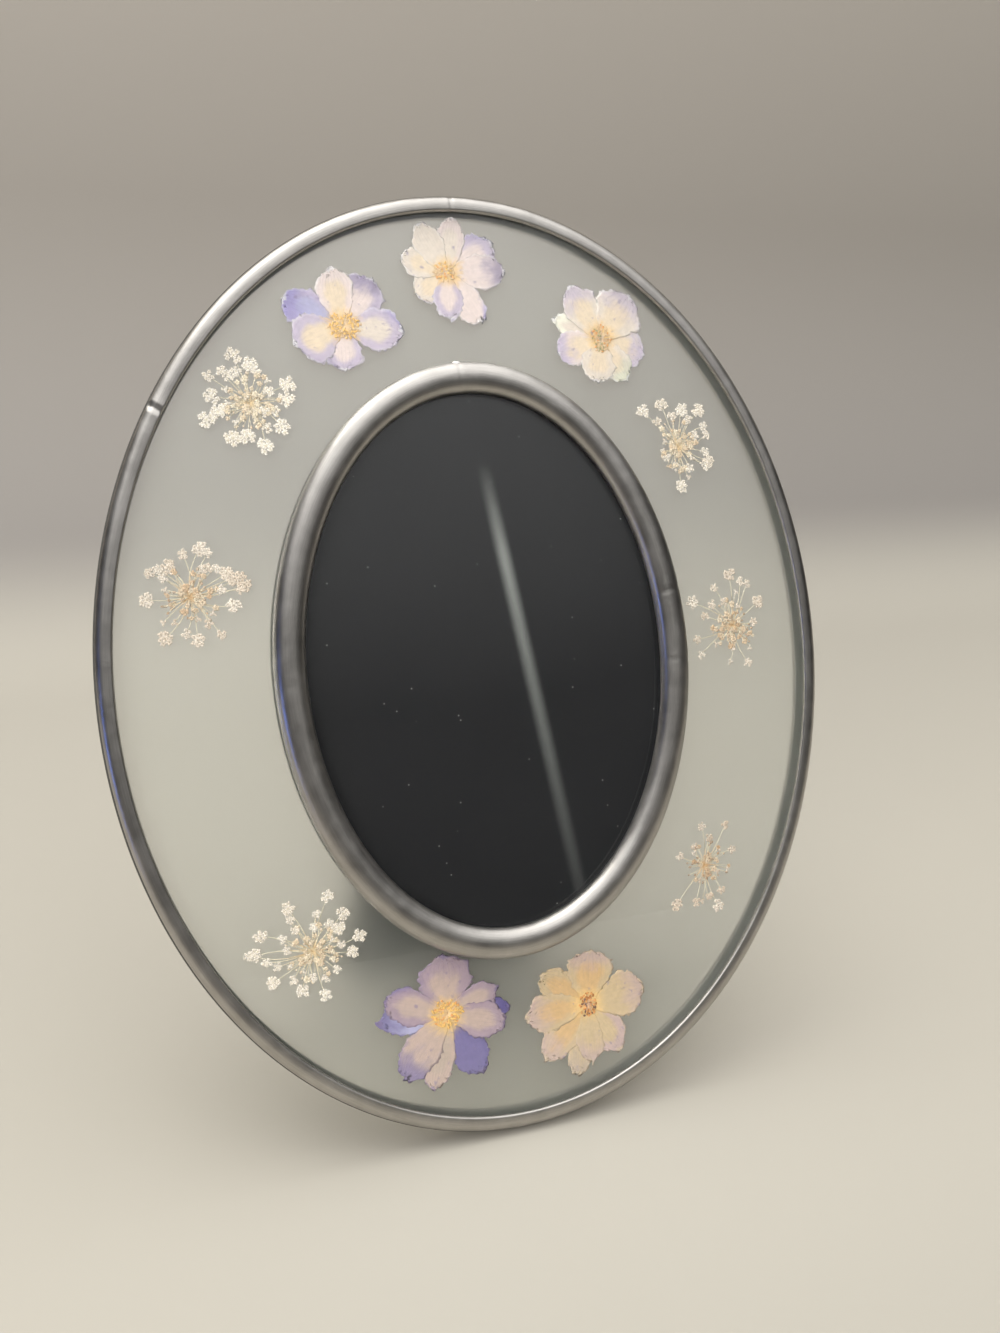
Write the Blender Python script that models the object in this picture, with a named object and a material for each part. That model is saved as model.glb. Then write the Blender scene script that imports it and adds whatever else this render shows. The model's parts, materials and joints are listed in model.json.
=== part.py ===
"""Oval pressed flower frame on a folding easel leg.

Two oval panes hold dried larkspurs and Queen Anne's lace between them. A metal came
clamps their outer edge, and a half-round came rings the photo opening in the middle.
A clear glass and a black board fill the opening, and a leg hinged to the board holds
the frame up, leaning back.

Everything is modelled upright in the frame's own plane: X to the right, Y to the back,
Z up, with the middle of the oval at the origin. One empty then leans it all back.
Lengths below are in millimetres.
"""

import math

import bmesh
import bpy
from mathutils import Matrix, Vector

MM = 0.001
GAP = 0.3  # left between pieces that touch
SIDES = 80  # flats round each oval

# The frame, each oval as its half width and half height
RIM_OVAL = (89.0, 110.9)
OPENING_OVAL = (43.8, 63.3)  # just inside a 3.5 x 5 inch photo
OPENING_UP = 0.8  # the opening sits this far above the middle
LEAN = math.radians(14.9)

# Glass: two panes with the flowers between them
PANE_THICK = 1.8
FLOWER_SPACE = 1.1
PANE_FACE = FLOWER_SPACE / 2 + PANE_THICK  # from the middle plane to an outer face
LEAD_BACK = PANE_FACE + GAP  # inner side of each came flange

# The came round the outside
RIM_FACE = 4.0
RIM_HEART = 1.5
RIM_FRONT = LEAD_BACK + 0.9
FLANGE = 0.9

# The half-round came round the opening
RING_FACE = 7.4
RING_CROWN = 2.8
RING_LIP = 2.45  # how far it covers the photo glass
RING_HEART = 1.2
RING_REAR = LEAD_BACK + FLANGE

# What fills the opening
BOARD_FRONT = -0.25
BOARD_THICK = 3.5
BOARD_REAR = BOARD_FRONT + BOARD_THICK

# Bendable tabs that hold the board in, by their angle round the opening
TAB_THICK = 0.5
TAB_WIDTH = 5.0
TAB_ANGLES = (90, 25, 155, 228, 312)

# Hinge of the leg: rolled sheet leaves on a pin
LEAF_THICK = 0.8
PIN_RADIUS = 1.2
ROLL_MIDDLE = PIN_RADIUS + GAP + LEAF_THICK / 2
HINGE_WIDTH = 30.0
KNUCKLE_SPLIT = 5.2  # half width of the slot for the leg's knuckle
KNUCKLE_PLAY = 0.4
LEAF_LENGTH = 13.0
LEAF_NOTCH = 2.9  # the leaf starts this far from the pin beside the other's knuckle
HINGE_UP = 43.0  # pin above the middle of the oval
HINGE_BACK = BOARD_REAR + GAP + ROLL_MIDDLE + LEAF_THICK / 2

# The leg
LEG_OPEN = math.radians(30)
LEG_THICK = 3.1
LEG_TOP = 3.0  # top edge below the pin
LEG_HALF_TOP = 13.0
LEG_HALF_END = 30.0
LEG_END = 160.0  # its blank runs past the floor, where it is cut off flat
LEG_REAR = ROLL_MIDDLE - LEAF_THICK / 2 - GAP  # its rear face, from the pin's middle

# Screws that hold the hinge leaves
SCREW_OUT = 9.5
SCREW_ALONG = 9.0
SCREW_HEAD = (2.1, 0.9)
SCREW_SHANK = (0.9, 2.3)

# Specimens: the middle of each, and for a larkspur each sepal's direction in degrees,
# reach and width
LARKSPURS = {
    "larkspur_top_left": (
        (-28.7, 80.2),
        ((155, 14.0, 8.4), (98, 12.9, 8.0), (56, 13.3, 9.8), (-6, 13.7, 9.2),
         (-91, 9.5, 8.0), (-158, 11.8, 11.2)),
    ),
    "larkspur_top_middle": (
        (-3.0, 92.9),
        ((118, 12.4, 6.6), (78, 12.7, 6.6), (31, 13.8, 9.0), (4, 14.3, 7.8),
         (-56, 13.6, 7.0), (-89, 10.3, 6.6), (-141, 9.0, 7.0), (159, 10.6, 6.6)),
    ),
    "larkspur_top_right": (
        (35.3, 77.7),
        ((120, 14.2, 8.8), (51, 13.5, 11.9), (-19, 11.9, 8.8), (-58, 11.3, 7.0),
         (-100, 9.9, 8.6), (-162, 11.7, 7.9), (158, 13.8, 4.2)),
    ),
    "larkspur_bottom_left": (
        (-17.7, -80.9),
        ((89, 13.6, 12.3), (18, 13.2, 6.0), (-18, 14.4, 8.0), (-4, 14.9, 6.3),
         (-64, 16.5, 7.4), (-105, 17.3, 7.4), (-132, 17.0, 8.4), (176, 15.9, 7.0),
         (160, 15.4, 8.0)),
    ),
    "larkspur_bottom_right": (
        (17.6, -84.6),
        ((82, 12.4, 11.8), (4, 15.0, 10.6), (-59, 14.6, 7.6), (-90, 14.3, 6.0),
         (-103, 17.2, 6.0), (-136, 16.3, 7.4), (-176, 15.6, 8.6), (144, 13.9, 7.4)),
    ),
}
# For a lace head its middle, its radius and how many bunches it has round its edge
LACE_HEADS = {
    "lace_left_high": ((-50.9, 62.8), 11.6, 9),
    "lace_left_middle": ((-67.5, 20.4), 12.0, 11),
    "lace_right_high": ((54.5, 50.6), 11.9, 8),
    "lace_right_middle": ((66.0, 4.6), 12.4, 9),
    "lace_right_low": ((52.5, -55.6), 11.6, 8),
    "lace_left_low": ((-47.5, -61.1), 13.6, 9),
}
SPECIMEN_THICK = 0.5


def clear_scene():
    for obj in list(bpy.data.objects):
        bpy.data.objects.remove(obj, do_unlink=True)


def finish_of(name, colour, roughness, metallic=0.0, clear=0.0):
    """A Principled material; clear is how far it lets light through."""
    made = bpy.data.materials.new(name)
    made.use_nodes = True
    shader = made.node_tree.nodes["Principled BSDF"]
    shader.inputs["Base Color"].default_value = (*colour, 1.0)
    shader.inputs["Roughness"].default_value = roughness
    shader.inputs["Metallic"].default_value = metallic
    shader.inputs["Transmission Weight"].default_value = clear
    made.diffuse_color = (*colour, 1.0)
    return made


def place(bm, name, material, parent, matrix=None, flat=False):
    """Turns a bmesh in millimetres into an object under its parent."""
    bmesh.ops.recalc_face_normals(bm, faces=bm.faces)
    bmesh.ops.scale(bm, vec=(MM, MM, MM), verts=bm.verts)
    mesh = bpy.data.meshes.new(name)
    bm.to_mesh(mesh)
    bm.free()
    if not flat:
        mesh.shade_smooth()
        mesh.set_sharp_from_angle(angle=math.radians(35))
    mesh.materials.append(material)
    obj = bpy.data.objects.new(name, mesh)
    bpy.context.scene.collection.objects.link(obj)
    obj.parent = parent
    if matrix is not None:
        obj.matrix_local = matrix
    return obj


def empty_at(name, location, turn, parent=None):
    empty = bpy.data.objects.new(name, None)
    bpy.context.scene.collection.objects.link(empty)
    empty.parent = parent
    empty.location = Vector(location) * MM
    empty.rotation_euler = (turn, 0, 0)
    return empty


def spun_oval(profile, oval):
    """Carries a closed profile round an oval.

    Each point of the profile is (distance outside the oval, depth). It is spun round a
    small circle, whose points then move out onto the oval.
    """
    hub = 20.0
    bm = bmesh.new()
    corners = [bm.verts.new((hub + out, depth, 0)) for out, depth in profile]
    edges = [bm.edges.new(pair) for pair in zip(corners, corners[1:] + corners[:1])]
    half_step = Matrix.Rotation(math.pi / SIDES, 3, "Y")
    bmesh.ops.rotate(bm, cent=(0, 0, 0), matrix=half_step, verts=corners)
    bmesh.ops.spin(
        bm, geom=corners + edges, cent=(0, 0, 0), axis=(0, 1, 0),
        angle=math.tau, steps=SIDES, use_merge=True,
    )
    for vert in bm.verts:
        away = Vector((vert.co.x, 0, vert.co.z)).normalized()
        vert.co.x += (oval[0] - hub) * away.x
        vert.co.z += (oval[1] - hub) * away.z
    return bm


def oval_plate(oval, front, rear, hole=None):
    """A flat oval plate between two depths, with the opening's oval hole or none."""
    bm = bmesh.new()
    turn = Matrix.Rotation(math.pi / 2, 4, "X") @ Matrix.Rotation(math.pi / SIDES, 4, "Z")
    for edge in (oval, hole) if hole else (oval,):
        loop = bmesh.ops.create_circle(
            bm, cap_ends=hole is None, segments=SIDES, radius=1, matrix=turn
        )
        bmesh.ops.scale(bm, vec=(edge[0], 1, edge[1]), verts=loop["verts"])
    if hole:
        bmesh.ops.translate(bm, vec=(0, 0, OPENING_UP), verts=loop["verts"])
        bmesh.ops.bridge_loops(bm, edges=bm.edges)
    bmesh.ops.translate(bm, vec=(0, front, 0), verts=bm.verts)
    thicken(bm, rear - front)
    return bm


def thicken(bm, depth):
    """Extrudes the flat faces of a bmesh backwards into a plate."""
    out = bmesh.ops.extrude_face_region(bm, geom=bm.faces[:])
    moved = [item for item in out["geom"] if isinstance(item, bmesh.types.BMVert)]
    bmesh.ops.translate(bm, vec=(0, depth, 0), verts=moved)


def turned(profile, sides=12):
    """Spins (radius, depth) points round the Y axis into a closed round piece."""
    bm = bmesh.new()
    points = [bm.verts.new((radius, depth, 0)) for radius, depth in profile]
    edges = [bm.edges.new(pair) for pair in zip(points, points[1:])]
    bmesh.ops.spin(
        bm, geom=points + edges, cent=(0, 0, 0), axis=(0, 1, 0),
        angle=math.tau, steps=sides, use_merge=True,
    )
    bmesh.ops.remove_doubles(bm, verts=bm.verts, dist=1e-4)
    return bm


def bent_sheet(path, columns):
    """Faces along a path of (depth, height) points, across pairs of X stations.

    columns holds (left, right, first and last path point) for each strip. Neighbouring
    strips share their points where they meet.
    """
    bm = bmesh.new()
    made = {}
    for left, right, first, last in columns:
        for at in range(first, last + 1):
            for x in (left, right):
                if (x, at) not in made:
                    made[x, at] = bm.verts.new((x, *path[at]))
        for at in range(first, last):
            corners = ((left, at), (right, at), (right, at + 1), (left, at + 1))
            bm.faces.new([made[corner] for corner in corners])
    return bm


def give_thickness(obj, thickness):
    solidify = obj.modifiers.new("sheet thickness", "SOLIDIFY")
    solidify.thickness = thickness * MM
    solidify.offset = 0
    solidify.use_even_offset = True


def drill(obj, cutter):
    boolean = obj.modifiers.new("screw hole", "BOOLEAN")
    boolean.operation = "DIFFERENCE"
    boolean.solver = "EXACT"
    boolean.object = cutter


def on_oval(oval, angle):
    """The place on an oval at a spin angle, and the direction that its edge faces."""
    spot = Vector((oval[0] * math.cos(angle), 0, oval[1] * math.sin(angle)))
    away = math.atan2(spot.z / oval[1] ** 2, spot.x / oval[0] ** 2)
    return spot, away


def rim_profile():
    """The outer came: a U round the panes, with a soft outside and an inner wall."""
    tip = -RIM_FACE
    front = (
        (tip, -LEAD_BACK), (tip, 0.4 - RIM_FRONT), (tip + 0.5, -RIM_FRONT),
        (-1.9, -RIM_FRONT), (-0.6, 0.7 - RIM_FRONT), (0, 2.3 - RIM_FRONT),
    )
    rear = (
        (0, RING_REAR - 1.5), (-0.5, RING_REAR - 0.4), (-1.3, RING_REAR),
        (tip, RING_REAR), (tip, LEAD_BACK),
    )
    heart = ((-RIM_HEART, LEAD_BACK), (-RIM_HEART, -LEAD_BACK))
    return front + rear + heart


def ring_profile():
    """The inner came: half-round bead in front, heart, and a flange behind the panes."""
    steps = 8
    bead = [
        (
            RING_FACE / 2 * (1 - math.cos(math.pi * step / steps)),
            -LEAD_BACK - RING_CROWN * math.sin(math.pi * step / steps) ** 0.8,
        )
        for step in range(steps + 1)
    ]
    heart_out = RING_LIP + RING_HEART
    behind = [
        (heart_out, -LEAD_BACK), (heart_out, LEAD_BACK), (RING_FACE, LEAD_BACK),
        (RING_FACE, RING_REAR), (RING_LIP, RING_REAR), (RING_LIP, -LEAD_BACK),
    ]
    return bead + behind


def centre_height():
    """How high the middle of the leaning oval is when the rim stands on the floor."""
    flat = math.cos(math.pi / SIDES)
    return max(
        (RIM_OVAL[1] + out) * flat * math.cos(LEAN) + depth * math.sin(LEAN)
        for out, depth in rim_profile()
    )


def grown(oval, by):
    return oval[0] + by, oval[1] + by


def build_glazing(frame, metal, glass, etched, black):
    place(spun_oval(rim_profile(), RIM_OVAL), "outer_rim", metal, frame)
    raised = Matrix.Translation((0, 0, OPENING_UP * MM))
    place(spun_oval(ring_profile(), OPENING_OVAL), "inner_ring", metal, frame, raised)
    edge = grown(RIM_OVAL, -RIM_HEART - GAP)
    hole = grown(OPENING_OVAL, RING_LIP + RING_HEART + GAP)
    half_space = FLOWER_SPACE / 2
    place(oval_plate(edge, -PANE_FACE, -half_space, hole), "front_pane", glass, frame)
    place(oval_plate(edge, half_space, PANE_FACE, hole), "back_pane", etched, frame)
    insert = grown(OPENING_OVAL, RING_LIP - GAP)
    place(oval_plate(insert, -PANE_FACE, -half_space), "photo_glass", glass, frame, raised)
    board = oval_plate(insert, BOARD_FRONT, BOARD_REAR)
    return place(board, "backing_board", black, frame, raised)


def build_tabs(frame, metal):
    over_flange = RING_REAR + GAP + TAB_THICK / 2
    over_board = BOARD_REAR + GAP + TAB_THICK / 2
    half = TAB_WIDTH / 2
    path = [(over_flange, 6.2), (over_flange, 3.2), (over_board, 1.6), (over_board, -4.0)]
    for count, degrees in enumerate(TAB_ANGLES, start=1):
        tab = bent_sheet(path, [(-half, half, 0, len(path) - 1)])
        spot, away = on_oval(OPENING_OVAL, math.radians(degrees))
        spot.z += OPENING_UP
        turn = Matrix.Rotation(math.pi / 2 - away, 4, "Y")
        obj = place(tab, f"board_tab_{count}", metal, frame, Matrix.Translation(spot * MM) @ turn)
        give_thickness(obj, TAB_THICK)


def leaf_path():
    """The middle of a leaf's sheet, from its end down to the pin and round it."""
    wrap = math.radians(290)
    steps = 15
    roll = []
    for step in range(steps + 1):
        angle = math.pi + wrap * step / steps
        roll.append((ROLL_MIDDLE * math.cos(angle), ROLL_MIDDLE * math.sin(angle)))
    return [(-ROLL_MIDDLE, LEAF_LENGTH), (-ROLL_MIDDLE, LEAF_NOTCH)] + roll


def build_leaf(name, parent, steel, matrix, outer_knuckles):
    path = leaf_path()
    end = len(path) - 1
    half = HINGE_WIDTH / 2
    split = KNUCKLE_SPLIT if outer_knuckles else KNUCKLE_SPLIT - KNUCKLE_PLAY
    outer_end, inner_end = (end, 1) if outer_knuckles else (1, end)
    columns = [
        (-half, -split, 0, outer_end), (-split, split, 0, inner_end), (split, half, 0, outer_end),
    ]
    leaf = place(bent_sheet(path, columns), name, steel, parent, matrix)
    give_thickness(leaf, LEAF_THICK)
    return leaf


def build_screws(name, parent, steel, seat, along, drilled):
    """Two screws through a leaf. seat is the depth of the leaf's rear face."""
    radius, height = SCREW_HEAD
    shank, length = SCREW_SHANK
    profile = (
        (0, GAP + height), (radius * 0.6, GAP + height * 0.8), (radius, GAP + height * 0.25),
        (radius, GAP), (shank, GAP), (shank, -LEAF_THICK - length), (0, -LEAF_THICK - length),
    )
    for side, x in (("left", -SCREW_OUT), ("right", SCREW_OUT)):
        matrix = Matrix.Translation(Vector((x, seat, along)) * MM)
        place(turned(profile), f"{name}_{side}", steel, parent, matrix)
        depth = LEAF_THICK + length + GAP
        hole = ((0, 1), (shank + GAP, 1), (shank + GAP, -depth), (0, -depth))
        cutter = place(turned(hole), f"{name}_{side}_hole", steel, parent, matrix)
        cutter.hide_render = True
        cutter.display_type = "WIRE"
        for obj in drilled:
            drill(obj, cutter)


def build_leg(pivot, hinge_height, wood):
    """The tapered leg, hanging from the pin and cut off flat on the floor."""
    slope = LEG_OPEN - LEAN
    reach = hinge_height / math.cos(slope)
    bm = bmesh.new()
    outline = (
        (-LEG_HALF_TOP, -LEG_TOP), (LEG_HALF_TOP, -LEG_TOP),
        (LEG_HALF_END, -LEG_END), (-LEG_HALF_END, -LEG_END),
    )
    bm.faces.new([bm.verts.new((x, LEG_REAR - LEG_THICK, z)) for x, z in outline])
    thicken(bm, LEG_THICK)
    top = [
        edge for edge in bm.edges
        if all(abs(vert.co.z + LEG_TOP) < 1e-4 for vert in edge.verts)
        and abs(edge.verts[0].co.x - edge.verts[1].co.x) < 1e-4
    ]
    bmesh.ops.bevel(bm, geom=top, offset=4, segments=4, profile=0.5, affect="EDGES", material=-1)
    floor = (0, math.sin(slope), math.cos(slope))
    cut = bmesh.ops.bisect_plane(
        bm, geom=bm.verts[:] + bm.edges[:] + bm.faces[:],
        plane_co=(0, 0, -reach), plane_no=floor, clear_inner=True,
    )
    bmesh.ops.contextual_create(
        bm, geom=[item for item in cut["geom_cut"] if isinstance(item, bmesh.types.BMEdge)]
    )
    return place(bm, "easel_leg", wood, pivot, flat=True)


def build_easel(frame, board, steel, wood):
    pin_at = (0, HINGE_BACK, HINGE_UP)
    height = centre_height() + HINGE_UP * math.cos(LEAN) - HINGE_BACK * math.sin(LEAN)
    pivot = empty_at("leg_hinge", pin_at, LEG_OPEN, frame)
    at_pin = Matrix.Translation(Vector(pin_at) * MM)
    half_turn = Matrix.Rotation(math.pi, 4, "X")

    fixed = build_leaf("hinge_leaf_board", frame, steel, at_pin, True)
    rear = HINGE_BACK - ROLL_MIDDLE + LEAF_THICK / 2
    build_screws("board_screw", frame, steel, rear, HINGE_UP + SCREW_ALONG, [fixed, board])

    leg = build_leg(pivot, height, wood)
    moving = build_leaf("hinge_leaf_leg", pivot, steel, half_turn, False)
    leaf_rear = ROLL_MIDDLE + LEAF_THICK / 2
    build_screws("leg_screw", pivot, steel, leaf_rear, -SCREW_ALONG, [moving, leg])

    half = HINGE_WIDTH / 2
    round_end = PIN_RADIUS * 0.6
    profile = (
        (0, -half - 0.8), (round_end, -half - 0.6), (PIN_RADIUS, -half),
        (PIN_RADIUS, half), (round_end, half + 0.6), (0, half + 0.8),
    )
    across = at_pin @ Matrix.Rotation(math.pi / 2, 4, "Z")
    place(turned(profile), "hinge_pin", steel, frame, across)


def sepal_edge(sepal, angle):
    """How far an oval sepal reaches along a direction, or 0 where it doesn't."""
    degrees, reach, width = sepal
    middle = reach * 0.6
    long, wide = reach * 0.4, width / 2
    off = angle - math.radians(degrees)
    along, aside = math.cos(off), math.sin(off)
    square = (along / long) ** 2 + (aside / wide) ** 2
    half_sum = along * middle / long**2
    inside = half_sum**2 - square * ((middle / long) ** 2 - 1)
    if inside < 0 or along < 0:
        return 0
    return (half_sum + math.sqrt(inside)) / square


def specimen(name, middle, outline, material, frame):
    """A thin plate of the specimen's outline, pressed between the panes."""
    bm = bmesh.new()
    steps = len(outline)
    points = [
        (middle[0] + reach * math.cos(math.tau * step / steps),
         middle[1] + reach * math.sin(math.tau * step / steps))
        for step, reach in enumerate(outline)
    ]
    bm.faces.new([bm.verts.new((x, -SPECIMEN_THICK / 2, z)) for x, z in points])
    thicken(bm, SPECIMEN_THICK)
    place(bm, name, material, frame, flat=True)


def build_specimens(frame, petal, lace):
    heart = 5.0
    for name, (middle, sepals) in LARKSPURS.items():
        steps = 60
        angles = [math.tau * step / steps for step in range(steps)]
        outline = [max(heart, *(sepal_edge(sepal, angle) for sepal in sepals)) for angle in angles]
        specimen(name, middle, outline, petal, frame)
    for name, (middle, radius, bunches) in LACE_HEADS.items():
        steps = bunches * 5
        wave = radius * 0.07
        outline = [
            radius - wave + wave * math.cos(math.tau * bunches * step / steps)
            for step in range(steps)
        ]
        specimen(name, middle, outline, lace, frame)


def middle_depth():
    """Half way between the frontmost and the rearmost point of the standing frame."""
    bpy.context.view_layer.update()
    graph = bpy.context.evaluated_depsgraph_get()
    depths = []
    for obj in bpy.data.objects:
        if obj.type != "MESH" or obj.hide_render:
            continue
        solid = obj.evaluated_get(graph)
        depths += [(solid.matrix_world @ vert.co).y for vert in solid.data.vertices]
    return (min(depths) + max(depths)) / 2


def main():
    clear_scene()
    metal = finish_of("lead came", (0.36, 0.34, 0.32), 0.35, metallic=1.0)
    glass = finish_of("clear glass", (0.9, 0.93, 0.92), 0.02, clear=1.0)
    etched = finish_of("etched glass", (0.72, 0.73, 0.69), 0.6, clear=0.5)
    black = finish_of("black board", (0.03, 0.03, 0.03), 0.7)
    steel = finish_of("zinc plated steel", (0.55, 0.55, 0.52), 0.35, metallic=1.0)
    petal = finish_of("larkspur sepal", (0.72, 0.66, 0.74), 0.8)
    lace = finish_of("lace floret", (0.85, 0.80, 0.68), 0.8)

    frame = empty_at("frame_lean", (0, 0, centre_height()), -LEAN)
    board = build_glazing(frame, metal, glass, etched, black)
    build_tabs(frame, metal)
    build_easel(frame, board, steel, black)
    build_specimens(frame, petal, lace)
    frame.location.y -= middle_depth()


main()
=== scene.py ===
"""Looks of the oval pressed flower frame.

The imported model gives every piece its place. Here each surface gets its finish, the two
cames get their drawn and soldered detail, and the dried larkspurs and Queen Anne's lace
are built sepal by sepal and floret by floret between the panes.

New pieces are modelled in the frame's own plane, in millimetres: X to the right, Y to
the back, Z up the oval, with the middle of the oval at the origin. PLANE leans them back
into place, in metres.
"""

import json
import math
import random

import bmesh
import bpy
from mathutils import Matrix, Vector, noise


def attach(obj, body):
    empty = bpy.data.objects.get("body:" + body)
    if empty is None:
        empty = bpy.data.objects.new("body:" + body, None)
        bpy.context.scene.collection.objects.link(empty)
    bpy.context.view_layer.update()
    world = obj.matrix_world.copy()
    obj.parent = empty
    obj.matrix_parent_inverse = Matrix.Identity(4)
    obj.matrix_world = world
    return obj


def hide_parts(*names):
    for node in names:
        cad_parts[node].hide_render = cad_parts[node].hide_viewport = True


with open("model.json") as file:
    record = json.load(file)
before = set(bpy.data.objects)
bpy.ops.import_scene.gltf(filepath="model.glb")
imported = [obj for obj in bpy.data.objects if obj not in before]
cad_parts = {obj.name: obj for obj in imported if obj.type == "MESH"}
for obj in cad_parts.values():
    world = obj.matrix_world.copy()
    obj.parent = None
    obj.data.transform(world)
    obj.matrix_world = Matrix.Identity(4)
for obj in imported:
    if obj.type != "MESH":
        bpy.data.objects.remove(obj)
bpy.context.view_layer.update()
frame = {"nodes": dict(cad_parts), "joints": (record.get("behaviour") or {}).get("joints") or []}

NODES = frame["nodes"]
MM = 0.001

# The leaning frame. The hinge pin is the CAD point that the middle of the oval is
# worked out from.
LEAN = math.radians(14.9)
PIN_FROM_MIDDLE = Vector((0, 5.85, 43))
LEANING = Matrix.Rotation(-LEAN, 4, "X")
PIN = Vector(frame["joints"][0]["pos_m"])
MIDDLE = PIN - LEANING @ (PIN_FROM_MIDDLE * MM)
PLANE = Matrix.Translation(MIDDLE) @ LEANING @ Matrix.Scale(MM, 4)

# Ovals as half width and half height. The opening's are centred a little up.
RIM_OVAL = (88.85, 110.72)
PANE_OVAL = (87.1, 109.0)
PANE_HOLE = (47.75, 67.25)
OPENING_OVAL = (43.8, 63.3)
OPENING_UP = 0.8

# Depths from the middle plane: the panes' inner and outer faces, the wall of the cames'
# channel and the back of their rear flange
HALF_SPACE = 0.55
GLASS_FACE = 2.35
CHANNEL = 2.45
FLANGE_BACK = 3.55

# Joints and dents of a came: the angle round the oval in degrees, how deep and wide the
# crease is, and the height and length of the swelling that the iron left
RIM_JOINTS = (
    (90.7, 0.24, 0.45, 0.1, 3.0), (145.6, 0.5, 0.5, 0.12, 1.8),
    (78.5, 0, 1, 0.12, 2.0), (97.8, 0, 1, 0.12, 2.0),
)
RING_JOINTS = ((93.4, 0.14, 0.4, 0.1, 2.5), (12, 0.12, 0.3, 0, 1), (-3, 0.1, 0.25, 0, 1))
MOST_SWELLING = 0.12

# The table and the wall behind it, in metres, with the sweep between them
TABLE_FRONT = -4.0
SWEEP_START = 0.36
SWEEP_RADIUS = 0.3
WALL_TOP = 2.2
HALF_WIDTH = 2.5

# The gap of light that the picture glass mirrors, in metres: its middle, the way it
# runs, and its width and length
GAP_MIDDLE = Vector((0.208, -0.557, 0.229))
GAP_ALONG = (-0.044, 0.067, 0.32)
GAP_SIZE = (0.0155, 0.345)
GAP_GLOW = 3.4

# The camera: where it is from the middle of the oval, the point of the frame's plane
# that it looks at, both in millimetres, and its lens
EYE_FROM_MIDDLE = Vector((-79.1, -241.2, 68.6))
LOOKED_AT = Vector((2.6, 0, -0.7))
LENS = 29.7

# Dried flower tints
CREAM = "#efdfca"
IVORY = "#ece1d7"
BLUSH = "#eee0dd"
PEACH = "#d8c29f"
APRICOT = "#e0bf90"
PALE_LILAC = "#d3c7d9"
LILAC = "#cbbfd8"
BLUE_LILAC = "#c3c0de"
VIOLET = "#a49ad2"
DEEP_VIOLET = "#6c629e"
GREY_VIOLET = "#a396b4"
DUSTY_ROSE = "#d0bab0"
DUSTY_LILAC = "#b9a4b0"
DUSK_VIOLET = "#857bac"
DUSTY_PEACH = "#cab8ab"
GREEN_WHITE = "#dfe0cd"
WHITE = "#faf6ea"
LACE_WHITE = "#f3ede6"
DRIED = "#d9c0a6"
GOLD = "#f6cb7c"
ORANGE = "#edb06e"
TAN = "#e8c9a0"
CARAMEL = "#cc9c68"
OLIVE = "#b5aa7c"
BROWN = "#7d5c4f"
STALK = "#ebe2cd"
STALK_HEART = "#e6cfa6"
CLAW = "#f2d295"
PINK_PEACH = "#d2bab6"
RUST = "#c4844a"
VEIN = "#8d7fa8"
FLORET_EYE = "#d9cf9f"
PALE_BUD = "#f0e6d4"
DRIED_BUD = "#d2ab82"


# --- colours, nodes and finished pieces ---

def srgb(code):
    """The linear colour of an sRGB hex code."""
    parts = [int(code[at:at + 2], 16) / 255 for at in (1, 3, 5)]
    linear = [part / 12.92 if part <= 0.04045 else ((part + 0.055) / 1.055) ** 2.4 for part in parts]
    return (*linear, 1.0)


def add(tree, kind, inputs=None, **settings):
    """Adds a shader node with its settings. inputs gives each socket a value or a link."""
    made = tree.nodes.new("ShaderNode" + kind)
    for name, value in settings.items():
        setattr(made, name, value)
    for name, value in (inputs or {}).items():
        socket = made.inputs[name]
        if isinstance(value, bpy.types.NodeSocket):
            tree.links.new(value, socket)
        else:
            socket.default_value = value
    return made


def start_material(name, roughness, metallic=0.0):
    """A new material, with its node tree and its shader."""
    made = bpy.data.materials.new(name)
    made.use_nodes = True
    shader = made.node_tree.nodes["Principled BSDF"]
    shader.inputs["Roughness"].default_value = roughness
    shader.inputs["Metallic"].default_value = metallic
    return made, made.node_tree, shader


def show(tree, shader):
    """Makes this the surface of a material."""
    tree.links.new(shader, tree.nodes["Material Output"].inputs["Surface"])


def coat(tree, shader, colour, relief):
    """Gives a shader its colour and its relief."""
    tree.links.new(colour.outputs[2], shader.inputs["Base Color"])
    tree.links.new(relief.outputs[0], shader.inputs["Normal"])


def put(name, data):
    """Puts an object that holds this data in the scene."""
    obj = bpy.data.objects.new(name, data)
    bpy.context.scene.collection.objects.link(obj)
    return obj


def meshed(bm, name, materials):
    """Turns a bmesh into an object with these materials."""
    mesh = bpy.data.meshes.new(name)
    bm.to_mesh(mesh)
    bm.free()
    mesh.shade_smooth()
    for material in materials:
        mesh.materials.append(material)
    return put(name, mesh)


def finished(bm, name, materials, replaced=None):
    """Turns a bmesh in the frame's plane into a piece that rides on the frame."""
    bm.transform(PLANE)
    obj = meshed(bm, name, materials)
    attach(obj, "frame")
    if replaced:
        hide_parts(replaced)
    return obj


def smooth(low, wall_painted_light, value):
    """0 below low, 1 above high, and an even S between."""
    share = min(max((value - low) / (wall_painted_light - low), 0.0), 1.0)
    return share * share * (3 - 2 * share)


def mixed(first, second, share):
    """The colour that lies this share of the way from the first to the second."""
    return tuple(a + (b - a) * share for a, b in zip(first, second))


# --- materials ---

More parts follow.
